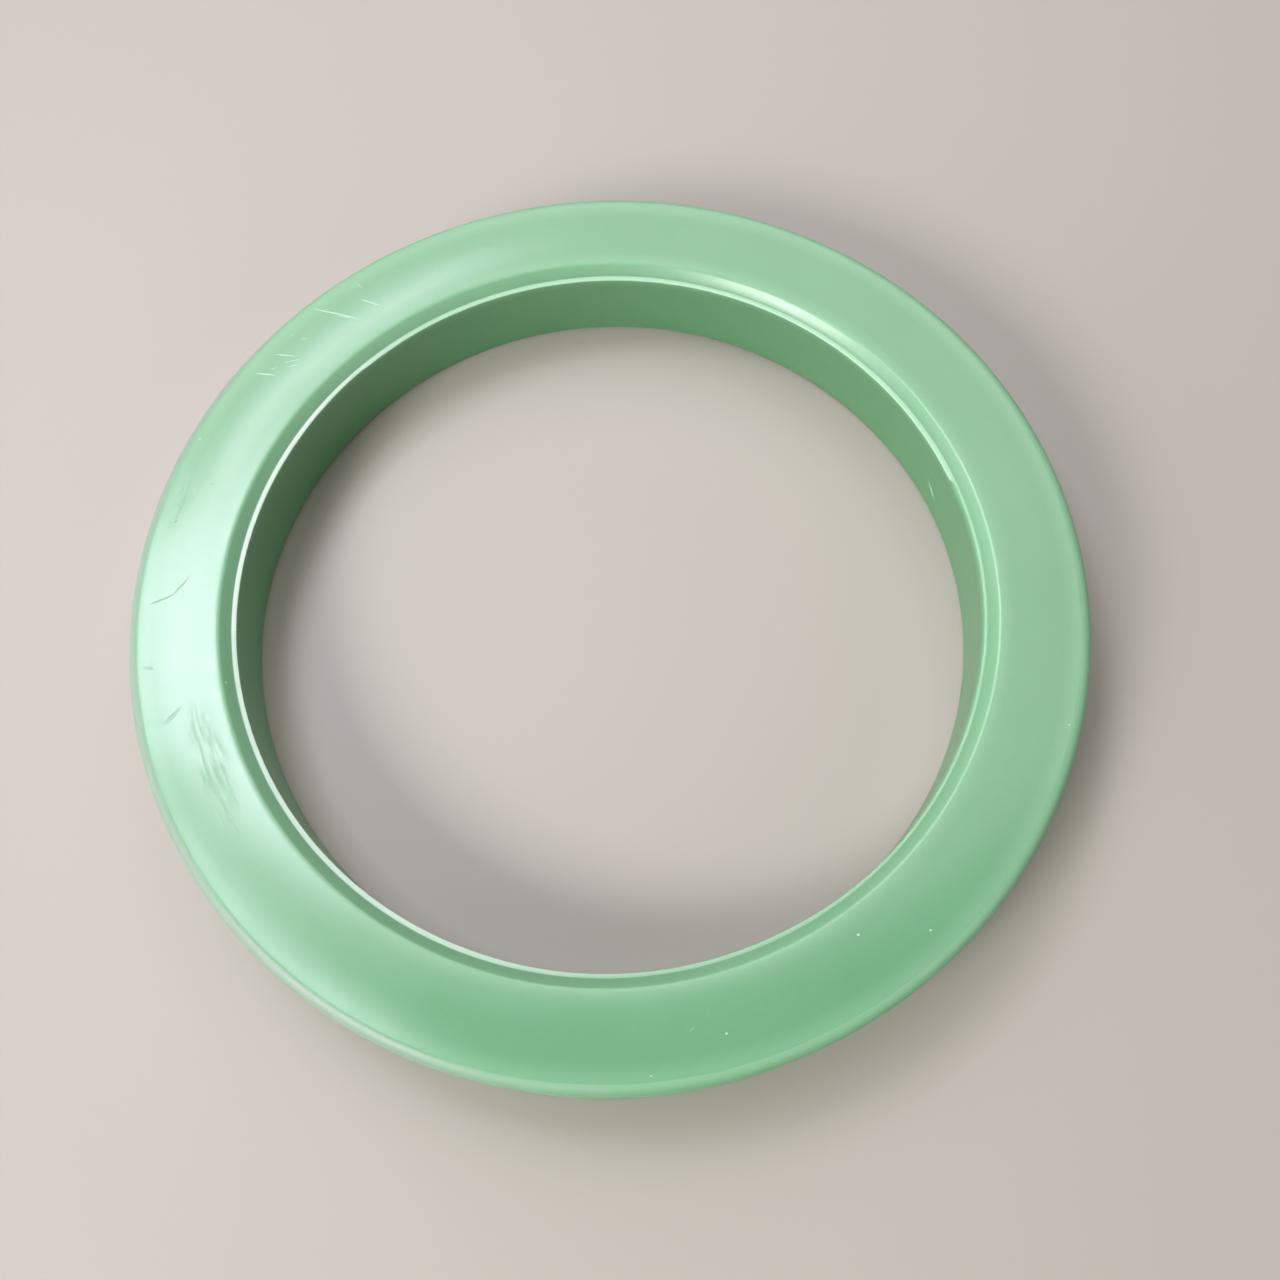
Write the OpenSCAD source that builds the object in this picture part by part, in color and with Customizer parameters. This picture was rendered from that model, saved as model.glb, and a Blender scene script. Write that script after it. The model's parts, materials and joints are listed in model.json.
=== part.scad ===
// Group head gasket: a sealing ring moulded in one piece, flat on both faces.
// The outer edge of the sealing face is rounded. At the mouth of the bore a chamfer
// runs down to a narrow step, and the straight wall of the bore starts below it.

/* [Ring] */
// Diameter of the bore
bore_d = 57; // [45:0.5:70]
// Width of the ring from the bore to the outer wall
ring_w = 8; // [5:0.25:12]
// Height from the underside to the sealing face
height = 8; // [5:0.25:10]

/* [Sealing face] */
// Radius of the rounded outer edge
rim_r = 0.9; // [0.2:0.1:1.6]
// Width of the chamfer at the mouth of the bore
chamfer_w = 0.75; // [0.25:0.05:1.5]
// Depth of the chamfer below the sealing face
chamfer_drop = 0.8; // [0.25:0.05:1.5]
// Width of the step between the chamfer and the bore
step_w = 0.3; // [0.1:0.05:0.6]

/* [Underside] */
// Radius of the rounded edges, at the outer wall and at the bore
foot_r = 0.4; // [0.1:0.1:1.2]

/* [Hidden] */
$fn = 240;
silicone_green = [0.47, 0.69, 0.51];
bore_r = bore_d / 2;
outer_r = bore_r + ring_w;
step_r = bore_r + step_w;
mouth_r = step_r + chamfer_w;
step_z = height - chamfer_drop;

// What a rounding of radius r takes off a square corner that points to +x and +y
module corner_waste(r) {
    difference() {
        square(r);
        circle(r);
    }
}

// One side of the ring cut through, with x as the distance from the axis
module ring_section() {
    difference() {
        polygon([
            [bore_r, 0],
            [outer_r, 0],
            [outer_r, height],
            [mouth_r, height],
            [step_r, step_z],
            [bore_r, step_z],
        ]);
        translate([outer_r - rim_r, height - rim_r])
            corner_waste(rim_r);
        translate([outer_r - foot_r, foot_r])
            mirror([0, 1])
                corner_waste(foot_r);
        translate([bore_r + foot_r, foot_r])
            rotate(180)
                corner_waste(foot_r);
    }
}

// The whole ring, standing on its underside with the sealing face up
module gasket() {
    color(silicone_green)
        rotate_extrude()
            ring_section();
}

gasket();
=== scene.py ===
# %% [markdown]
# # A moulded silicone ring
# The object is a group head gasket: one ring of green silicone rubber, moulded in one piece,
# that seals the water side of an espresso machine. This lesson dresses the measured solid:
# it turns the ring's section into a fine mesh, gives it the soft, cloudy finish of silicone,
# and lights it as a small product on a pale table.

# %% Load the measured solid
import json
import math

import bmesh
import bpy
from mathutils import Matrix, Quaternion, Vector, noise


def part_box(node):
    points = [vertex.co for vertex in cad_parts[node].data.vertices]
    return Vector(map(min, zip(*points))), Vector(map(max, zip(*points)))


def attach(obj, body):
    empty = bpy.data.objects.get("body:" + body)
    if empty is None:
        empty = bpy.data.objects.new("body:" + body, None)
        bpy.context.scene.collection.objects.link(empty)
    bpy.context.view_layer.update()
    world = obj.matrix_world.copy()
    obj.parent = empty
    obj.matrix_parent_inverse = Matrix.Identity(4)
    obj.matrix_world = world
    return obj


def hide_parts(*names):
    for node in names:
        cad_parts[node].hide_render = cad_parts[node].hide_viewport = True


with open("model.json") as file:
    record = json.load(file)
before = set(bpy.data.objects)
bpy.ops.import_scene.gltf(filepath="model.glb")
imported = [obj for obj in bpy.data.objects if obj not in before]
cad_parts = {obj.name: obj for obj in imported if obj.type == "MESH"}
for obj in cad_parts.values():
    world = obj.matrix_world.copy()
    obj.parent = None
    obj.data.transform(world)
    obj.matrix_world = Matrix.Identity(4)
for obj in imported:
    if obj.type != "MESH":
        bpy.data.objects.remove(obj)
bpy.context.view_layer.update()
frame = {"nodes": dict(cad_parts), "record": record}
print("nodes in the frame:", sorted(frame["nodes"]))

# %% [markdown]
# ## Sizes
# Everything is in metres, as in the frame, so a helper turns millimetres into metres. The
# height and the outer radius come from the solid's own box and the bore from the record's
# mount. The small edge sizes are those of the mould: a rounded rim, a chamfer that guides
# the filter basket in, a narrow step where the inner skin was trimmed off, and soft feet.

# %% Read the driving sizes
def mm(value):
    return value * 0.001


low_corner, high_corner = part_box("gasket")
bore_mount = next(mount for mount in frame["record"]["mounts"] if mount["name"] == "bore")
height = high_corner.z - low_corner.z
outer_r = high_corner.x
bore_r = mm(bore_mount["dims"]["r_mm"])
rim_r = mm(0.9)
chamfer_w = mm(0.75)
chamfer_drop = mm(0.8)
step_w = mm(0.3)
foot_r = mm(0.4)
step_r = bore_r + step_w
mouth_r = step_r + chamfer_w
step_z = height - chamfer_drop
print(f"ring: outer r {outer_r:.4f}, bore r {bore_r:.4f}, height {height:.4f} m")

# %% [markdown]
# ## The section
# A ring is a section turned about an axis. We could bend a bar or cut a cylinder, but turning
# keeps every round surface true. The section starts as six corners in the XZ plane, joined by
# edges. Bevelling a vertex of a flat outline rounds that corner, as the mould cutter did. The
# straight runs are then cut into short pieces, because a finer mesh carries the small dents
# and the ragged trim line that come later, and keeps the shading of the flats clean.

# %% Draw the section
ring_mesh = bmesh.new()
corner_places = {
    "bore_foot": (bore_r, 0.0),
    "outer_foot": (outer_r, 0.0),
    "rim": (outer_r, height),
    "mouth": (mouth_r, height),
    "step_back": (step_r, step_z),
    "step_lip": (bore_r, step_z),
}
corners = {name: ring_mesh.verts.new((r, 0.0, z)) for name, (r, z) in corner_places.items()}
ordered = list(corners.values())
for start, end in zip(ordered, ordered[1:] + ordered[:1]):
    ring_mesh.edges.new((start, end))
print("section drawn:", len(corners), "corners")

# %% Round its corners
# Each corner has the radius of its rounding and the number of pieces that the arc is cut into
corner_rounds = {
    "bore_foot": (foot_r, 5),
    "outer_foot": (foot_r, 5),
    "rim": (rim_r, 10),
    "mouth": (mm(0.15), 5),
    "step_back": (mm(0.06), 2),
    "step_lip": (mm(0.05), 2),
}
for name, (radius, segments) in corner_rounds.items():
    bmesh.ops.bevel(
        ring_mesh,
        geom=[corners[name]],
        offset=radius,
        offset_type="OFFSET",
        affect="VERTICES",
        segments=segments,
        profile=0.5,
        material=-1,
    )
print("section corners rounded:", len(ring_mesh.verts), "points")

# %% Cut the straight runs into short pieces
run_piece = mm(0.28)
for edge in list(ring_mesh.edges):
    pieces = round(edge.calc_length() / run_piece)
    if pieces > 1:
        bmesh.ops.subdivide_edges(ring_mesh, edges=[edge], cuts=pieces - 1)
print("section cut into", len(ring_mesh.edges), "short pieces")

# %% [markdown]
# ## Turning the ring
# Spin carries the section round the Z axis. Each step of a spin goes over the whole mesh again,
# so a full turn in fine steps is slow. One share of the turn is spun instead, and copies of it
# are turned into the other places. Doubles are merged to close the seams, and the normals are
# recalculated, because a spin can leave the skin inside out.

# %% Spin one share and copy it round
turn_shares = 9
steps_per_share = 80
share_angle = math.tau / turn_shares
bmesh.ops.spin(
    ring_mesh,
    geom=ring_mesh.verts[:] + ring_mesh.edges[:],
    cent=(0.0, 0.0, 0.0),
    axis=(0.0, 0.0, 1.0),
    angle=share_angle,
    steps=steps_per_share,
)
first_share = ring_mesh.verts[:] + ring_mesh.edges[:] + ring_mesh.faces[:]
for share in range(1, turn_shares):
    copy = bmesh.ops.duplicate(ring_mesh, geom=first_share)["geom"]
    copied_points = [item for item in copy if isinstance(item, bmesh.types.BMVert)]
    turn = Matrix.Rotation(share * share_angle, 3, "Z")
    bmesh.ops.rotate(ring_mesh, verts=copied_points, cent=(0.0, 0.0, 0.0), matrix=turn)
bmesh.ops.remove_doubles(ring_mesh, verts=ring_mesh.verts[:], dist=mm(0.001))
bmesh.ops.recalc_face_normals(ring_mesh, faces=ring_mesh.faces[:])
open_edges = sum(not edge.is_manifold for edge in ring_mesh.edges)
print("ring turned:", len(ring_mesh.faces), "faces,", open_edges, "open edges")

# %% [markdown]
# ## The trim line and its nick
# The thin skin that closed the bore in the mould was torn away. Along part of the mouth it
# left a sliver that stands into the bore, and next to that it took a little of the lip with
# it. The two meet at a sharp nick, the sliver fades out on the far side, a second one runs along
# the left, and the edge is a little ragged all round. All this is about a tenth of a millimetre,
# so the points of the lip are moved towards or away from the axis by a rule of their angle and
# height.

# %% Sizes of the torn edge
sliver_depth = mm(0.10)
sliver_end_deg = 127.0
sliver_end_blend_deg = 4.0
left_sliver_depth = mm(0.08)
left_sliver_deg = 195.0
left_sliver_fade = (0.3, 0.75)
torn_depth = mm(0.13)
torn_end_deg = -75.0
torn_end_blend_deg = 30.0
nick_deg = 12.2
nick_blend_deg = 1.0
ragged_depth = mm(0.03)
ragged_scale = 2600.0
print("torn edge: nick at", nick_deg, "degrees, sliver to", sliver_end_deg, "degrees")


# %% The rule for the lip
def smooth_step(value, start, end):
    share = min(max((value - start) / (end - start), 0.0), 1.0)
    return share * share * (3.0 - 2.0 * share)


def lip_shift(point):
    angle = math.degrees(math.atan2(point.y, point.x))
    past_nick = smooth_step(angle, nick_deg, nick_deg + nick_blend_deg)
    past_sliver = smooth_step(angle, sliver_end_deg, sliver_end_deg + sliver_end_blend_deg)
    past_torn = smooth_step(angle, torn_end_deg, torn_end_deg + torn_end_blend_deg)
    to_left = smooth_step(math.cos(math.radians(angle - left_sliver_deg)), *left_sliver_fade)
    slivers = sliver_depth * past_nick * (1.0 - past_sliver) + left_sliver_depth * to_left
    torn = torn_depth * past_torn * (1.0 - past_nick)
    ragged = abs(noise.noise(point * ragged_scale)) * ragged_depth
    return slivers - torn + ragged


torn_sample = lip_shift(Vector((bore_r, 0.0, step_z)))
print("lip shift at the torn side:", round(torn_sample / mm(1.0), 3), "mm")

# %% Move the points of the lip
lip_top_z = step_z + mm(0.02)
lip_full_z = step_z - mm(0.05)
lip_low_z = step_z - mm(0.4)
lip_full_r = bore_r + mm(0.04)
moved = 0
for vert in ring_mesh.verts:
    radius = vert.co.xy.length
    if vert.co.z > lip_top_z:
        continue
    near_lip = smooth_step(vert.co.z, lip_low_z, lip_full_z)
    near_bore = 1.0 - smooth_step(radius, lip_full_r, step_r)
    if near_lip * near_bore > 0.0:
        vert.co.xy *= 1.0 - near_lip * near_bore * lip_shift(vert.co) / radius
        moved += 1
print("points moved along the trim line with painted highlight:", moved)

# %% [markdown]
# ## Soft faces
# Silicone shrinks a little as it cools, so its faces are never dead flat. The sealing face is
# crowned by about a tenth of a millimetre, which gathers the sheen along its middle, and a
# long reflection wavers on it. Points near the face's edges are lowered after the square of
# their distance from its middle line, and then each point sinks by a few thousandths after a
# slow noise. They only ever sink, so the ring stays inside its measured box.

# %% Crown the sealing face
crown_depth = mm(0.09)
face_outer_r = outer_r - rim_r
face_middle_r = (mouth_r + face_outer_r) / 2
face_half_w = (face_outer_r - mouth_r) / 2
crown_low_z = step_z + mm(0.05)
crown_full_z = height - mm(0.3)
crowned = 0
for vert in ring_mesh.verts:
    if vert.co.z > crown_low_z:
        from_middle = min(abs(vert.co.xy.length - face_middle_r) / face_half_w, 1.0)
        near_face = smooth_step(vert.co.z, step_z, crown_full_z)
        vert.co.z -= crown_depth * near_face * from_middle ** 2
        crowned += 1
print("points crowned:", crowned)

# %% Let the faces waver
wave_depth = mm(0.012)
wave_scale = 140.0
still_below = mm(0.5)
ring_mesh.normal_update()
sinks = {
    vert: vert.normal * wave_depth * (0.5 + 0.5 * noise.noise(vert.co * wave_scale))
    for vert in ring_mesh.verts
    if vert.co.z > still_below
}
for vert, sink in sinks.items():
    vert.co -= sink
print("points that waver:", len(sinks))

# %% Make the ring an object
ring_data = bpy.data.meshes.new("silicone_ring")
ring_mesh.to_mesh(ring_data)
ring_mesh.free()
ring_data.shade_smooth()
ring = bpy.data.objects.new("silicone_ring", ring_data)
bpy.context.scene.collection.objects.link(ring)
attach(ring, "root")
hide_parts("gasket")
print("triangles:", 2 * len(ring_data.polygons))

# %% [markdown]
# ## Wear on this ring
# The ring was handled before it was seen. The sealing face has fine pale scratches, a few dark
# hairlines, shallow pits, two dull scuffs and specks of dust, and one mark lies inside the bore.
# Each is named by where it lies on the ring: millimetres from the axis, degrees round it, and
# millimetres above the table. The marks are far thinner than a mesh face, so they are drawn by the
# finish, as colour, gloss and a shallow groove.

# %% List the scratches and hairlines
# Each has its start and its end as (radius, angle, height), and half its width
mm_per_metre = 1000.0
face_mm = height * mm_per_metre
bore_mm = bore_r * mm_per_metre
deep_scratches = [
    ((36.0, 128.7, face_mm), (31.6, 124.0, face_mm), 0.085),
    ((34.8, 140.4, face_mm), (33.0, 138.9, face_mm), 0.09),
    ((34.7, 136.7, face_mm), (32.9, 134.9, face_mm), 0.08),
    ((33.6, 122.5, face_mm), (31.8, 120.5, face_mm), 0.08),
    ((bore_mm, 17.6, 3.2), (bore_mm, 14.2, 2.1), 0.10),
]
faint_scratches = [
    ((35.5, 121.4, face_mm), (34.0, 121.0, face_mm), 0.08),
    ((35.3, 122.4, face_mm), (34.5, 121.4, face_mm), 0.07),
    ((33.5, 126.7, face_mm), (32.3, 124.9, face_mm), 0.08),
    ((34.8, 133.3, face_mm), (34.7, 132.5, face_mm), 0.09),
    ((34.0, 132.7, face_mm), (33.4, 131.7, face_mm), 0.08),
    ((33.6, 137.3, face_mm), (32.4, 134.6, face_mm), 0.07),
    ((32.9, 137.3, face_mm), (32.3, 135.6, face_mm), 0.07),
    ((33.9, 138.9, face_mm), (33.5, 137.8, face_mm), 0.07),
    ((32.9, 273.9, face_mm), (32.6, 274.7, face_mm), 0.08),
]
hairlines = [
    ((35.2, 175.8, face_mm), (32.7, 174.1, face_mm), 0.16),
    ((33.3, 174.7, face_mm), (32.0, 171.4, face_mm), 0.16),
    ((34.5, 192.4, face_mm), (32.7, 190.5, face_mm), 0.16),
    ((35.4, 184.0, face_mm), (34.3, 184.5, face_mm), 0.12),
]
print("lines:", len(deep_scratches + faint_scratches), "scratches,", len(hairlines), "hairlines")

# %% List the scuffs, pits and specks
# A scuff is listed as a scratch is, and a pit or a speck has its centre and its size
scuffs = [
    ((31.9, 188.0, face_mm), (33.0, 212.0, face_mm), 1.5),
    ((34.6, 154.0, face_mm), (34.4, 166.0, face_mm), 0.9),
]
pits = [
    ((32.5, 157.7, face_mm), 0.14),
    ((34.3, 164.0, face_mm), 0.20),
    ((34.6, 161.8, face_mm), 0.12),
    ((33.5, 160.3, face_mm), 0.12),
]
dust_specks = [
    ((35.4, 335.6, face_mm), 0.15),
    ((31.3, 297.7, face_mm), 0.13),
    ((34.1, 304.9, face_mm), 0.12),
    ((35.3, 269.0, face_mm), 0.13),
    ((33.5, 278.1, face_mm), 0.11),
    ((35.3, 152.0, face_mm), 0.13),
    ((29.3, 188.4, 7.7), 0.14),
]
print("spots:", len(scuffs), "scuffs,", len(pits), "pits,", len(dust_specks), "specks")

# %% [markdown]
# ## The silicone finish
# Silicone rubber is cloudy: light goes in, scatters for about a millimetre and comes out again,
# so thin edges glow and shadows inside the bore stay green. The Principled shader does this with
# its subsurface part. The skin copies the polish of the mould, so it is satin, with faint rings
# left by the lathe that cut the mould. They come from noise on the ring's own coordinates, which
# is stretched along the angle so that it runs round. A few helpers keep the node tree readable.

# %% Start the material
silicone = bpy.data.materials.new("green_silicone")
silicone.use_nodes = True
tree = silicone.node_tree
shader = tree.nodes["Principled BSDF"]
print("material started:", silicone.name)


# %% Helpers for the node tree
def feed(socket, value):
    if isinstance(value, bpy.types.NodeSocket):
        tree.links.new(value, socket)
    elif value is not None:
        socket.default_value = value


def math_node(operation, first, second=None, third=None):
    node = tree.nodes.new("ShaderNodeMath")
    node.operation = operation
    for socket, value in zip(node.inputs, (first, second, third)):
        feed(socket, value)
    return node.outputs["Value"]


def ramp(value, start, end, start_value=0.0, end_value=1.0):
    node = tree.nodes.new("ShaderNodeMapRange")
    node.interpolation_type = "SMOOTHSTEP"
    settings = {
        "Value": value,
        "From Min": start,
        "From Max": end,
        "To Min": start_value,
        "To Max": end_value,
    }
    for label, setting in settings.items():
        feed(node.inputs[label], setting)
    return node.outputs["Result"]


def noise_node(vector, scale, detail):
    node = tree.nodes.new("ShaderNodeTexNoise")
    feed(node.inputs["Vector"], vector)
    node.inputs["Scale"].default_value = scale
    node.inputs["Detail"].default_value = detail
    return node.outputs["Fac"]


def blend_colour(factor, first, second):
    node = tree.nodes.new("ShaderNodeMix")
    node.data_type = "RGBA"
    feed(node.inputs["Factor"], factor)
    feed(node.inputs["A"], first)
    feed(node.inputs["B"], second)
    return node.outputs["Result"]


# %% Radius, angle and height on the ring
place = tree.nodes.new("ShaderNodeVectorMath")
place.operation = "SCALE"
place.inputs["Scale"].default_value = mm_per_metre
feed(place.inputs[0], tree.nodes.new("ShaderNodeTexCoord").outputs["Object"])
point = place.outputs["Vector"]
split = tree.nodes.new("ShaderNodeSeparateXYZ")
feed(split.inputs["Vector"], point)
point_height = split.outputs["Z"]
point_angle = math_node("ARCTAN2", split.outputs["Y"], split.outputs["X"])
squares = math_node("MULTIPLY", split.outputs["X"], split.outputs["X"])
squares = math_node("MULTIPLY_ADD", split.outputs["Y"], split.outputs["Y"], squares)
point_radius = math_node("SQRT", squares)
print("places read in millimetres; nodes so far:", len(tree.nodes))

# %% Clouds, smudges and lathe rings
angle_stretch = 5.0
round_axes = tree.nodes.new("ShaderNodeCombineXYZ")
feed(round_axes.inputs["X"], point_radius)
feed(round_axes.inputs["Y"], math_node("MULTIPLY", point_angle, angle_stretch))
feed(round_axes.inputs["Z"], point_height)
clouds = noise_node(point, scale=0.11, detail=3.0)
smudges = noise_node(point, scale=0.6, detail=3.0)
lathe_rings = noise_node(round_axes.outputs["Vector"], scale=3.0, detail=2.0)
print("noise added; nodes so far:", len(tree.nodes))

# %% [markdown]
# ## Drawing a mark
# A Mapping node of the texture kind moves, turns and stretches space, so that a long thin
# ellipsoid round the mark becomes a unit ball. A spherical gradient in that space is one at the
# middle of the mark and nothing outside it. Two nodes a mark are quick to render, and the ends
# taper by themselves.

# %% Helpers for the marks
speck_flatness = 0.7


def ring_point(spot):
    radius, angle, height_mm = spot
    turned = math.radians(angle)
    return Vector((radius * math.cos(turned), radius * math.sin(turned), height_mm))


def mark_mask(middle, turn, half_sizes):
    mapping = tree.nodes.new("ShaderNodeMapping")
    mapping.vector_type = "TEXTURE"
    feed(mapping.inputs["Vector"], point)
    mapping.inputs["Location"].default_value = middle
    mapping.inputs["Rotation"].default_value = turn
    mapping.inputs["Scale"].default_value = half_sizes
    ball = tree.nodes.new("ShaderNodeTexGradient")
    ball.gradient_type = "SPHERICAL"
    feed(ball.inputs["Vector"], mapping.outputs["Vector"])
    return ball.outputs["Fac"]


def scratch_mask(start, end, width):
    first, last = ring_point(start), ring_point(end)
    run = last - first
    turn = run.to_track_quat("X", "Z").to_euler()
    return mark_mask((first + last) / 2, turn, (run.length / 2, width, 2 * width))


def speck_mask(centre, size):
    return mark_mask(ring_point(centre), (0.0, 0.0, 0.0), (size, size * speck_flatness, size))


def strongest(masks, gain):
    total = masks[0]
    for mask in masks[1:]:
        total = math_node("MAXIMUM", total, mask)
    return math_node("MINIMUM", math_node("MULTIPLY", total, gain), 1.0)


print("face marks lie at", face_mm, "mm, bore marks at radius", bore_mm, "mm")

# %% Gather the masks of the marks
deep = strongest([scratch_mask(*mark) for mark in deep_scratches], gain=2.0)
faint = strongest([scratch_mask(*mark) for mark in faint_scratches], gain=2.0)
faint_share = 0.4
scratched = math_node("MULTIPLY_ADD", faint, faint_share, deep)
hairline_masks = [scratch_mask(*mark) for mark in hairlines]
pit_masks = [speck_mask(*mark) for mark in pits]
hairline = strongest(hairline_masks + pit_masks, gain=1.6)
scuffed = strongest([scratch_mask(*mark) for mark in scuffs], gain=2.0)
scuff_streaks = ramp(lathe_rings, start=0.30, end=0.70)
scuffed = math_node("MULTIPLY", scuffed, scuff_streaks)
dusty = strongest([speck_mask(*mark) for mark in dust_specks], gain=2.0)
print("masks joined; nodes so far:", len(tree.nodes))

# %% [markdown]
# ## Colour
# The green is not even: it is a little cloudy at random. The rest is painted light and shade: a
# painted glow makes the edges paler, painted shade makes the bore darker and dulls the rim and the
# outer wall at the left, and the torn trim line is nearly white, partly from its own pale skin and
# partly from a painted highlight. A painted picture would fit one size only, so each zone is a mask
# worked out from the radius, the angle and the height in millimetres, and the greens are blended
# one over the other.

# %% Where a glow is painted on the edges
step_mm = step_r * mm_per_metre
step_z_mm = step_z * mm_per_metre
mouth_mm = mouth_r * mm_per_metre
outer_mm = outer_r * mm_per_metre
rim_top_mm = outer_mm - rim_r * mm_per_metre
rim_wear_mm = outer_mm - 0.6
glow_reach = 1.4
glow_low_z = step_z_mm - 0.6
glow_full_z = face_mm - 0.3
inner_glow_full = mouth_mm - 0.2
step_glow_share = 0.5
# Painted glow: near the inner and outer edges of the upper side the colour is made paler, standing
# in for light shining through the thin silicone and for sheen
upper_side = ramp(point_height, glow_low_z, glow_full_z)
painted_inner_glow = ramp(point_radius, mouth_mm + glow_reach, inner_glow_full)
down_chamfer = ramp(point_radius, step_mm, mouth_mm, step_glow_share, 1.0)
painted_inner_glow = math_node("MULTIPLY", painted_inner_glow, down_chamfer)
painted_outer_glow = ramp(point_radius, rim_top_mm - glow_reach, rim_top_mm)
painted_outer_glow = math_node("MULTIPLY", painted_outer_glow, ramp(point_radius, outer_mm, rim_wear_mm))
painted_edge_glow = math_node("MULTIPLY", math_node("ADD", painted_inner_glow, painted_outer_glow), upper_side)
print("edges glow over", glow_reach, "mm")

# %% Where the trim line is pale, with a painted highlight
plain_paleness = 0.16
left_painted_highlight = 0.62
sliver_paleness = 0.22
trim_outer_mm = step_mm + 0.02
trim_full_mm = step_mm - 0.06
trim_low_z = step_z_mm - 0.24
trim_full_z = step_z_mm - 0.12
far_left_deg = (115.0, 145.0)
near_left_deg = (-85.0, -130.0)
on_step = ramp(point_radius, trim_outer_mm, trim_full_mm)
above_lip = ramp(point_height, trim_low_z, trim_full_z)
nick_angle = math.radians(nick_deg)
sliver_side = ramp(point_angle, nick_angle, nick_angle + math.radians(nick_blend_deg))
far_left = ramp(point_angle, *map(math.radians, far_left_deg))
near_left = ramp(point_angle, *map(math.radians, near_left_deg))
left_side = math_node("ADD", far_left, near_left)
paleness = math_node("MULTIPLY_ADD", left_side, left_painted_highlight, plain_paleness)
paleness = math_node("MULTIPLY_ADD", sliver_side, sliver_paleness, paleness)
# The torn trim line is partly pale by itself and partly a painted highlight, which is much stronger
# on the left side
trim_paleness_and_highlight = math_node("MULTIPLY", math_node("MULTIPLY", on_step, above_lip), paleness)
print("trim line with painted highlight paleness:", plain_paleness, "and at the left", left_painted_highlight, "more")

# %% Where the rim is worn, and where shade is painted on the rim and in the bore
# The rim's mask goes by the radius alone, so it takes in the outer wall below the rim
bore_shade_depth_mm = 1.2
wall_start_mm = bore_mm + 0.5
wall_full_mm = bore_mm + 0.1
worn_rim = ramp(point_radius, rim_top_mm, rim_wear_mm)
# Painted shade: on the left side the rim and the outer wall below it are dulled to a grey green;
# only their roughness stands for wear
painted_rim_shade = math_node("MULTIPLY", worn_rim, left_side)
# Painted shade: the bore wall is made a darker green from the step downwards, where the recess lies
# in shade
bore_wall = ramp(point_radius, wall_start_mm, wall_full_mm)
below_lip = ramp(point_height, step_z_mm, step_z_mm - bore_shade_depth_mm)
painted_bore_shade = math_node("MULTIPLY", bore_wall, below_lip)
print("bore reaches its full green", bore_shade_depth_mm, "mm below the step")

# %% Blend the greens
deep_green = (0.160, 0.382, 0.196, 1.0)
light_green = (0.190, 0.420, 0.228, 1.0)
colour_layers = [
    # painted shade in the bore
    ("bore", painted_bore_shade, 1.0, (0.116, 0.308, 0.140, 1.0)),
    # painted glow on the edges
    ("painted edge glow", painted_edge_glow, 0.5, (0.285, 0.522, 0.322, 1.0)),
    # painted shade on the rim and outer wall at the left
    ("rim and outer wall", painted_rim_shade, 1.0, (0.266, 0.366, 0.283, 1.0)),
    # the trim line's own paleness with a painted highlight
    ("trim line with painted highlight", trim_paleness_and_highlight, 1.0, (0.600, 0.800, 0.610, 1.0)),
    ("scratches", scratched, 0.55, (0.520, 0.800, 0.580, 1.0)),
    ("hairlines", hairline, 0.3, (0.100, 0.250, 0.140, 1.0)),
    ("dust", dusty, 1.0, (0.620, 0.780, 0.640, 1.0)),
]
colour = blend_colour(clouds, deep_green, light_green)
for layer, mask, strength, tint in colour_layers:
    colour = blend_colour(math_node("MULTIPLY", mask, strength), colour, tint)
    print("colour layer:", layer)
feed(shader.inputs["Base Color"], colour)

# %% [markdown]
# ## Gloss, relief and depth
# The polish of the mould is even, so the roughness starts low, and each kind of wear adds its own
# share. Scratches and hairlines are also pressed in, and dust raised, by a bump of a hundredth of a
# millimetre or two. One number each sets how strongly the skin mirrors and how far light scatters
# below it, and green goes furthest.

# %% Gloss
polished_roughness = 0.12
mouth_wear_mm = 0.16
worn_mouth = ramp(point_radius, mouth_mm + mouth_wear_mm, mouth_mm)
roughness_layers = [
    ("smudges", smudges, 0.08),
    ("lathe rings", lathe_rings, 0.08),
    ("scratches", scratched, 0.20),
    ("worn mouth", worn_mouth, 0.12),
    ("rim and outer wall", worn_rim, 0.30),
    ("scuffs", scuffed, 0.14),
    ("dust", dusty, 0.50),
]
roughness = polished_roughness
for layer, mask, share in roughness_layers:
    roughness = math_node("MULTIPLY_ADD", mask, share, roughness)
    print("roughness layer:", layer, share)
feed(shader.inputs["Roughness"], roughness)

# %% Shallow relief
lathe_relief_mm = 0.0016
scratch_relief_mm = -0.010
dust_relief_mm = 0.020
on_face = ramp(point_radius, step_mm, mouth_mm, 0.0, lathe_relief_mm)
relief = math_node("MULTIPLY", lathe_rings, on_face)
relief = math_node("MULTIPLY_ADD", scratched, scratch_relief_mm, relief)
relief = math_node("MULTIPLY_ADD", hairline, scratch_relief_mm, relief)
relief = math_node("MULTIPLY_ADD", dusty, dust_relief_mm, relief)
bump = tree.nodes.new("ShaderNodeBump")
bump.inputs["Strength"].default_value = 1.0
bump.inputs["Distance"].default_value = mm(1.0)
feed(bump.inputs["Height"], relief)
feed(shader.inputs["Normal"], bump.outputs["Normal"])
print("relief made: scratches", scratch_relief_mm, "mm, dust", dust_relief_mm, "mm")

# %% Mirror and scatter
shader.inputs["IOR"].default_value = 1.45
shader.inputs["Specular IOR Level"].default_value = 0.85
shader.inputs["Subsurface Weight"].default_value = 1.0
shader.inputs["Subsurface Radius"].default_value = (0.5, 1.0, 0.6)
shader.inputs["Subsurface Scale"].default_value = mm(1.1)
ring_data.materials.append(silicone)
print("finish made:", silicone.name, "with", len(tree.nodes), "nodes")

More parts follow.
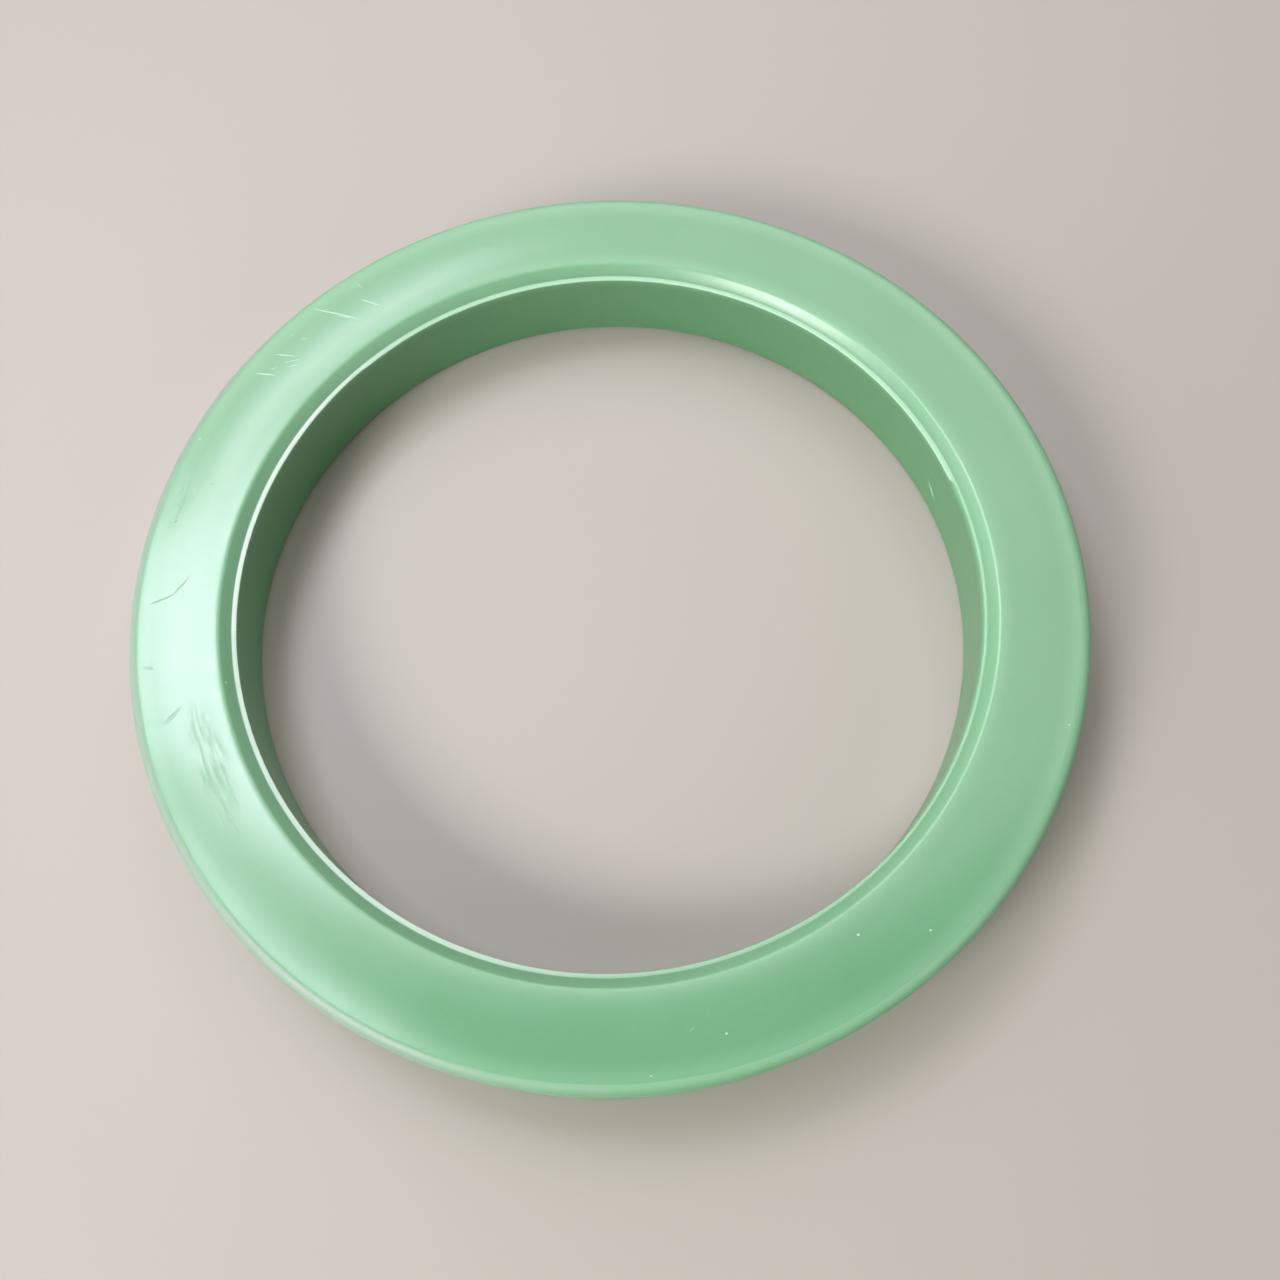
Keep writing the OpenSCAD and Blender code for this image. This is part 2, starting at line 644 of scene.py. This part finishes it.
# %% [markdown]
# ## Rays that see the backdrop
# The lamps only reach the middle of the table, so its far part and the sky would look dark. A
# camera, a reflection or clear glass is shown a pale backdrop there instead, and the light on the
# ring stays as it is. Light Path tells these rays apart. The table and the sky both need their
# sum, so a helper adds the same few nodes to each of them.

# %% Sort the rays
backdrop = (0.66, 0.64, 0.61, 1.0)


def add_seen_rays(node_tree):
    ray_path = node_tree.nodes.new("ShaderNodeLightPath")
    seen = ray_path.outputs["Is Camera Ray"]
    for ray_kind in ("Is Glossy Ray", "Is Transmission Ray"):
        adder = node_tree.nodes.new("ShaderNodeMath")
        adder.operation = "ADD"
        adder.use_clamp = True
        node_tree.links.new(seen, adder.inputs[0])
        node_tree.links.new(ray_path.outputs[ray_kind], adder.inputs[1])
        seen = adder.outputs["Value"]
    return seen


print("backdrop colour:", backdrop[:3])

# %% [markdown]
# ## The table
# The ring lies on a plain pale table. A grid a few metres wide is enough for every view, a hair
# below the ring so that two faces never share a place. A flat single colour looks painted, so a
# slow noise shifts its tone by a hair. Far from the ring the table fades into the backdrop. It is
# clear from below, and also to light on its way to the ring's underside, so that the underside can
# be looked at.

# %% Make the table
table_half = 1.5
table_gap = mm(0.02)
table_mesh = bmesh.new()
bmesh.ops.create_grid(table_mesh, x_segments=1, y_segments=1, size=table_half)
table_data = bpy.data.meshes.new("pale_table")
table_mesh.to_mesh(table_data)
table_mesh.free()
table = bpy.data.objects.new("pale_table", table_data)
table.location.z = -table_gap
bpy.context.scene.collection.objects.link(table)
print("table made:", 2 * table_half, "m square")

# %% Finish of the table
darker_tone = (0.410, 0.370, 0.322, 1.0)
paler_tone = (0.442, 0.399, 0.350, 1.0)
table_finish = bpy.data.materials.new("pale_table")
table_finish.use_nodes = True
table_tree = table_finish.node_tree
join = table_tree.links.new
table_shader = table_tree.nodes["Principled BSDF"]
table_place = table_tree.nodes.new("ShaderNodeTexCoord")
table_noise = table_tree.nodes.new("ShaderNodeTexNoise")
table_noise.inputs["Scale"].default_value = 9.0
table_tone = table_tree.nodes.new("ShaderNodeMix")
table_tone.data_type = "RGBA"
table_tone.inputs["A"].default_value = darker_tone
table_tone.inputs["B"].default_value = paler_tone
join(table_place.outputs["Object"], table_noise.inputs["Vector"])
join(table_noise.outputs["Fac"], table_tone.inputs["Factor"])
join(table_tone.outputs["Result"], table_shader.inputs["Base Color"])
table_shader.inputs["Roughness"].default_value = 0.5
table_data.materials.append(table_finish)
print("finish made:", table_finish.name)

# %% Fade the far part
fade_start, fade_end = 0.16, 0.50
table_reach = table_tree.nodes.new("ShaderNodeVectorMath")
table_reach.operation = "LENGTH"
table_fade = table_tree.nodes.new("ShaderNodeMapRange")
table_fade.interpolation_type = "SMOOTHSTEP"
table_fade.inputs["From Min"].default_value = fade_start
table_fade.inputs["From Max"].default_value = fade_end
far_seen = table_tree.nodes.new("ShaderNodeMath")
far_seen.operation = "MULTIPLY"
far_glow = table_tree.nodes.new("ShaderNodeEmission")
far_glow.inputs["Color"].default_value = backdrop
upper_mix = table_tree.nodes.new("ShaderNodeMixShader")
join(table_place.outputs["Object"], table_reach.inputs[0])
join(table_reach.outputs["Value"], table_fade.inputs["Value"])
join(table_fade.outputs["Result"], far_seen.inputs[0])
join(add_seen_rays(table_tree), far_seen.inputs[1])
join(far_seen.outputs["Value"], upper_mix.inputs["Fac"])
join(table_shader.outputs["BSDF"], upper_mix.inputs[1])
join(far_glow.outputs["Emission"], upper_mix.inputs[2])
print("table fades from", fade_start, "to", fade_end, "m")

# %% Clear the underside
# Rays from the ring's own underside end on the table after little more than the gap
short_ray = 5 * table_gap
clear = table_tree.nodes.new("ShaderNodeBsdfTransparent")
facing_side = table_tree.nodes.new("ShaderNodeNewGeometry")
ray_path = table_tree.nodes.new("ShaderNodeLightPath")
from_ring = table_tree.nodes.new("ShaderNodeMath")
from_ring.operation = "LESS_THAN"
from_ring.inputs[1].default_value = short_ray
see_through = table_tree.nodes.new("ShaderNodeMath")
see_through.operation = "MAXIMUM"
side_mix = table_tree.nodes.new("ShaderNodeMixShader")
table_output = table_tree.nodes["Material Output"]
join(ray_path.outputs["Ray Length"], from_ring.inputs[0])
join(facing_side.outputs["Backfacing"], see_through.inputs[0])
join(from_ring.outputs["Value"], see_through.inputs[1])
join(see_through.outputs["Value"], side_mix.inputs["Fac"])
join(upper_mix.outputs["Shader"], side_mix.inputs[1])
join(clear.outputs["BSDF"], side_mix.inputs[2])
join(side_mix.outputs["Shader"], table_output.inputs["Surface"])
print("table is clear from below; nodes:", len(table_tree.nodes))

# %% [markdown]
# ## Light
# A few soft boxes and a dim sky, as in a small studio. The key hangs behind and to the left,
# where its reflection falls on the left of the sealing face, and a strip beside it draws the
# sheen on towards the back. A second strip brightens the outer edge at the front left, and a wide
# panel gives the rest of the face its even sheen. A panel at the left and a fill at the front
# light the chamfer, a box at the front left puts the glint on it, and a low panel there gives the
# rounded rim its broad pale sheen. Each box is placed by its two ends and its width, all in metres,
# and faces the ring. A lamp's watts are its brightness times pi times its area, so a larger box
# needs more of them.

# %% Place the soft boxes
def soft_box(name, start, end, width, brightness, tint):
    first, last = Vector(start), Vector(end)
    middle = (first + last) / 2
    along = (last - first).normalized()
    away = (middle - along * middle.dot(along)).normalized()
    lamp = bpy.data.lights.new(name, "AREA")
    lamp.shape = "RECTANGLE"
    lamp.size = (last - first).length
    lamp.size_y = width
    lamp.color = tint
    lamp.energy = brightness * math.pi * lamp.size * lamp.size_y
    box = bpy.data.objects.new(name, lamp)
    turn = Matrix((along, away.cross(along), away)).transposed()
    box.matrix_world = Matrix.Translation(middle) @ turn.to_4x4()
    box.visible_camera = False
    bpy.context.scene.collection.objects.link(box)
    print("soft box:", name, "energy", round(lamp.energy, 3), "W")


daylight = (0.84, 0.84, 1.0)
plain_white = (1.0, 1.0, 1.0)
soft_box("key_box", (-0.142, 0.192, 0.350), (-0.152, 0.083, 0.350), 0.15, 10.8, daylight)
soft_box("key_strip", (-0.030, 0.280, 0.350), (-0.140, 0.208, 0.350), 0.022, 13.0, daylight)
soft_box("edge_strip", (-0.200, 0.062, 0.350), (-0.105, -0.045, 0.350), 0.030, 9.0, daylight)
soft_box("back_panel", (-0.200, 0.220, 0.360), (0.260, 0.220, 0.360), 0.42, 1.58, plain_white)
soft_box("left_panel", (-0.420, -0.130, 0.150), (-0.420, 0.230, 0.150), 0.20, 1.2, plain_white)
soft_box("glint_box", (-0.352, -0.180, 0.290), (-0.235, -0.330, 0.290), 0.15, 18.0, plain_white)
soft_box("rim_panel", (-0.420, -0.180, 0.200), (-0.330, -0.310, 0.200), 0.36, 3.0, plain_white)
soft_box("front_fill", (0.183, -0.446, 0.230), (0.457, -0.154, 0.230), 0.20, 1.15, plain_white)

# %% [markdown]
# ## Sky
# The sky lights the ring only dimly, and the sorted rays see it as the pale backdrop. It is
# darker overhead, as a ceiling is above the lamps, and that keeps the near side of the ring deep
# green. Below the table it is brighter, so that the underside shows its colour.

# %% Make the sky
sky_strength = 0.12
sky_tint = (0.95, 0.98, 1.0, 1.0)
ceiling_edge = math.radians(32.0)
ceiling_middle = math.radians(6.0)
overhead_share = 0.28
below_z = -0.1
below_gain = 3.5
world = bpy.data.worlds.new("studio_sky")
bpy.context.scene.world = world
world.use_nodes = True
sky_tree = world.node_tree
sky_tree.nodes.clear()
sky_place = sky_tree.nodes.new("ShaderNodeTexCoord")
sky_split = sky_tree.nodes.new("ShaderNodeSeparateXYZ")
sky_tree.links.new(sky_place.outputs["Generated"], sky_split.inputs["Vector"])
sky_share = sky_tree.nodes.new("ShaderNodeMapRange")
sky_share.interpolation_type = "SMOOTHSTEP"
sky_share.inputs["From Min"].default_value = math.cos(ceiling_edge)
sky_share.inputs["From Max"].default_value = math.cos(ceiling_middle)
sky_share.inputs["To Min"].default_value = 1.0
sky_share.inputs["To Max"].default_value = overhead_share
sky_tree.links.new(sky_split.outputs["Z"], sky_share.inputs["Value"])
sky_below = sky_tree.nodes.new("ShaderNodeMapRange")
sky_below.interpolation_type = "SMOOTHSTEP"
sky_below.inputs["From Min"].default_value = 0.0
sky_below.inputs["From Max"].default_value = below_z
sky_below.inputs["To Min"].default_value = 1.0
sky_below.inputs["To Max"].default_value = below_gain
sky_tree.links.new(sky_split.outputs["Z"], sky_below.inputs["Value"])
print("sky is", overhead_share, "overhead and", below_gain, "below the table")


# %% Let the sorted rays see the backdrop
def background(colour, strength):
    node = sky_tree.nodes.new("ShaderNodeBackground")
    node.inputs["Color"].default_value = colour
    sky_tree.links.new(strength, node.inputs["Strength"])
    return node.outputs["Background"]


sky_dimmed = sky_tree.nodes.new("ShaderNodeMath")
sky_dimmed.operation = "MULTIPLY"
sky_dimmed.inputs[1].default_value = sky_strength
sky_tree.links.new(sky_share.outputs["Result"], sky_dimmed.inputs[0])
sky_lifted = sky_tree.nodes.new("ShaderNodeMath")
sky_lifted.operation = "MULTIPLY"
sky_tree.links.new(sky_dimmed.outputs["Value"], sky_lifted.inputs[0])
sky_tree.links.new(sky_below.outputs["Result"], sky_lifted.inputs[1])
sky_light = background(sky_tint, sky_lifted.outputs["Value"])
sky_seen = background(backdrop, sky_share.outputs["Result"])
sky_mix = sky_tree.nodes.new("ShaderNodeMixShader")
sky_out = sky_tree.nodes.new("ShaderNodeOutputWorld")
sky_tree.links.new(add_seen_rays(sky_tree), sky_mix.inputs["Fac"])
sky_tree.links.new(sky_light, sky_mix.inputs[1])
sky_tree.links.new(sky_seen, sky_mix.inputs[2])
sky_tree.links.new(sky_mix.outputs["Shader"], sky_out.inputs["Surface"])
print("sky strength:", sky_strength)

# %% [markdown]
# ## Camera
# The view was measured from the ring's own circles: the lens, the distance, the tilt off the
# vertical, a slight roll, and the pixel where the middle of the ring's underside falls in a square
# picture. The camera first looks straight at that middle, rolls about its line of sight, and is
# then turned until the middle lands on its pixel.

# %% Measures of the view
picture_side = 1280.0
focal_pixels = 1268.5
sensor_mm = 36.0
view_distance = mm(103.85)
view_tilt = math.radians(21.27)
view_roll = math.radians(-6.16)
middle_pixel = (611.4, 624.8)
print("view measured: tilt", round(math.degrees(view_tilt), 2), "degrees")

# %% Place the camera
camera_data = bpy.data.cameras.new("camera")
camera_data.sensor_width = sensor_mm
camera_data.sensor_height = sensor_mm
camera_data.lens = focal_pixels / picture_side * sensor_mm
camera_data.clip_start = mm(5.0)
camera = bpy.data.objects.new("camera", camera_data)
camera.location = Vector((0.0, -math.sin(view_tilt), math.cos(view_tilt))) * view_distance
facing = (-camera.location).to_track_quat("-Z", "Y")
roll_turn = Quaternion((0.0, 0.0, 1.0), view_roll)
half_side = picture_side / 2.0
sight_right = middle_pixel[0] - half_side
sight_up = half_side - middle_pixel[1]
sight = Vector((sight_right, sight_up, -focal_pixels)).normalized()
aim_turn = Vector((0.0, 0.0, -1.0)).rotation_difference(sight)
camera.rotation_mode = "QUATERNION"
camera.rotation_quaternion = facing @ roll_turn @ aim_turn.inverted()
bpy.context.scene.collection.objects.link(camera)
bpy.context.scene.camera = camera
bpy.context.scene.view_settings.view_transform = "Standard"
camera_place = [round(value, 4) for value in camera.location]
print("camera at", camera_place, "with a lens of", round(camera_data.lens, 2), "mm")
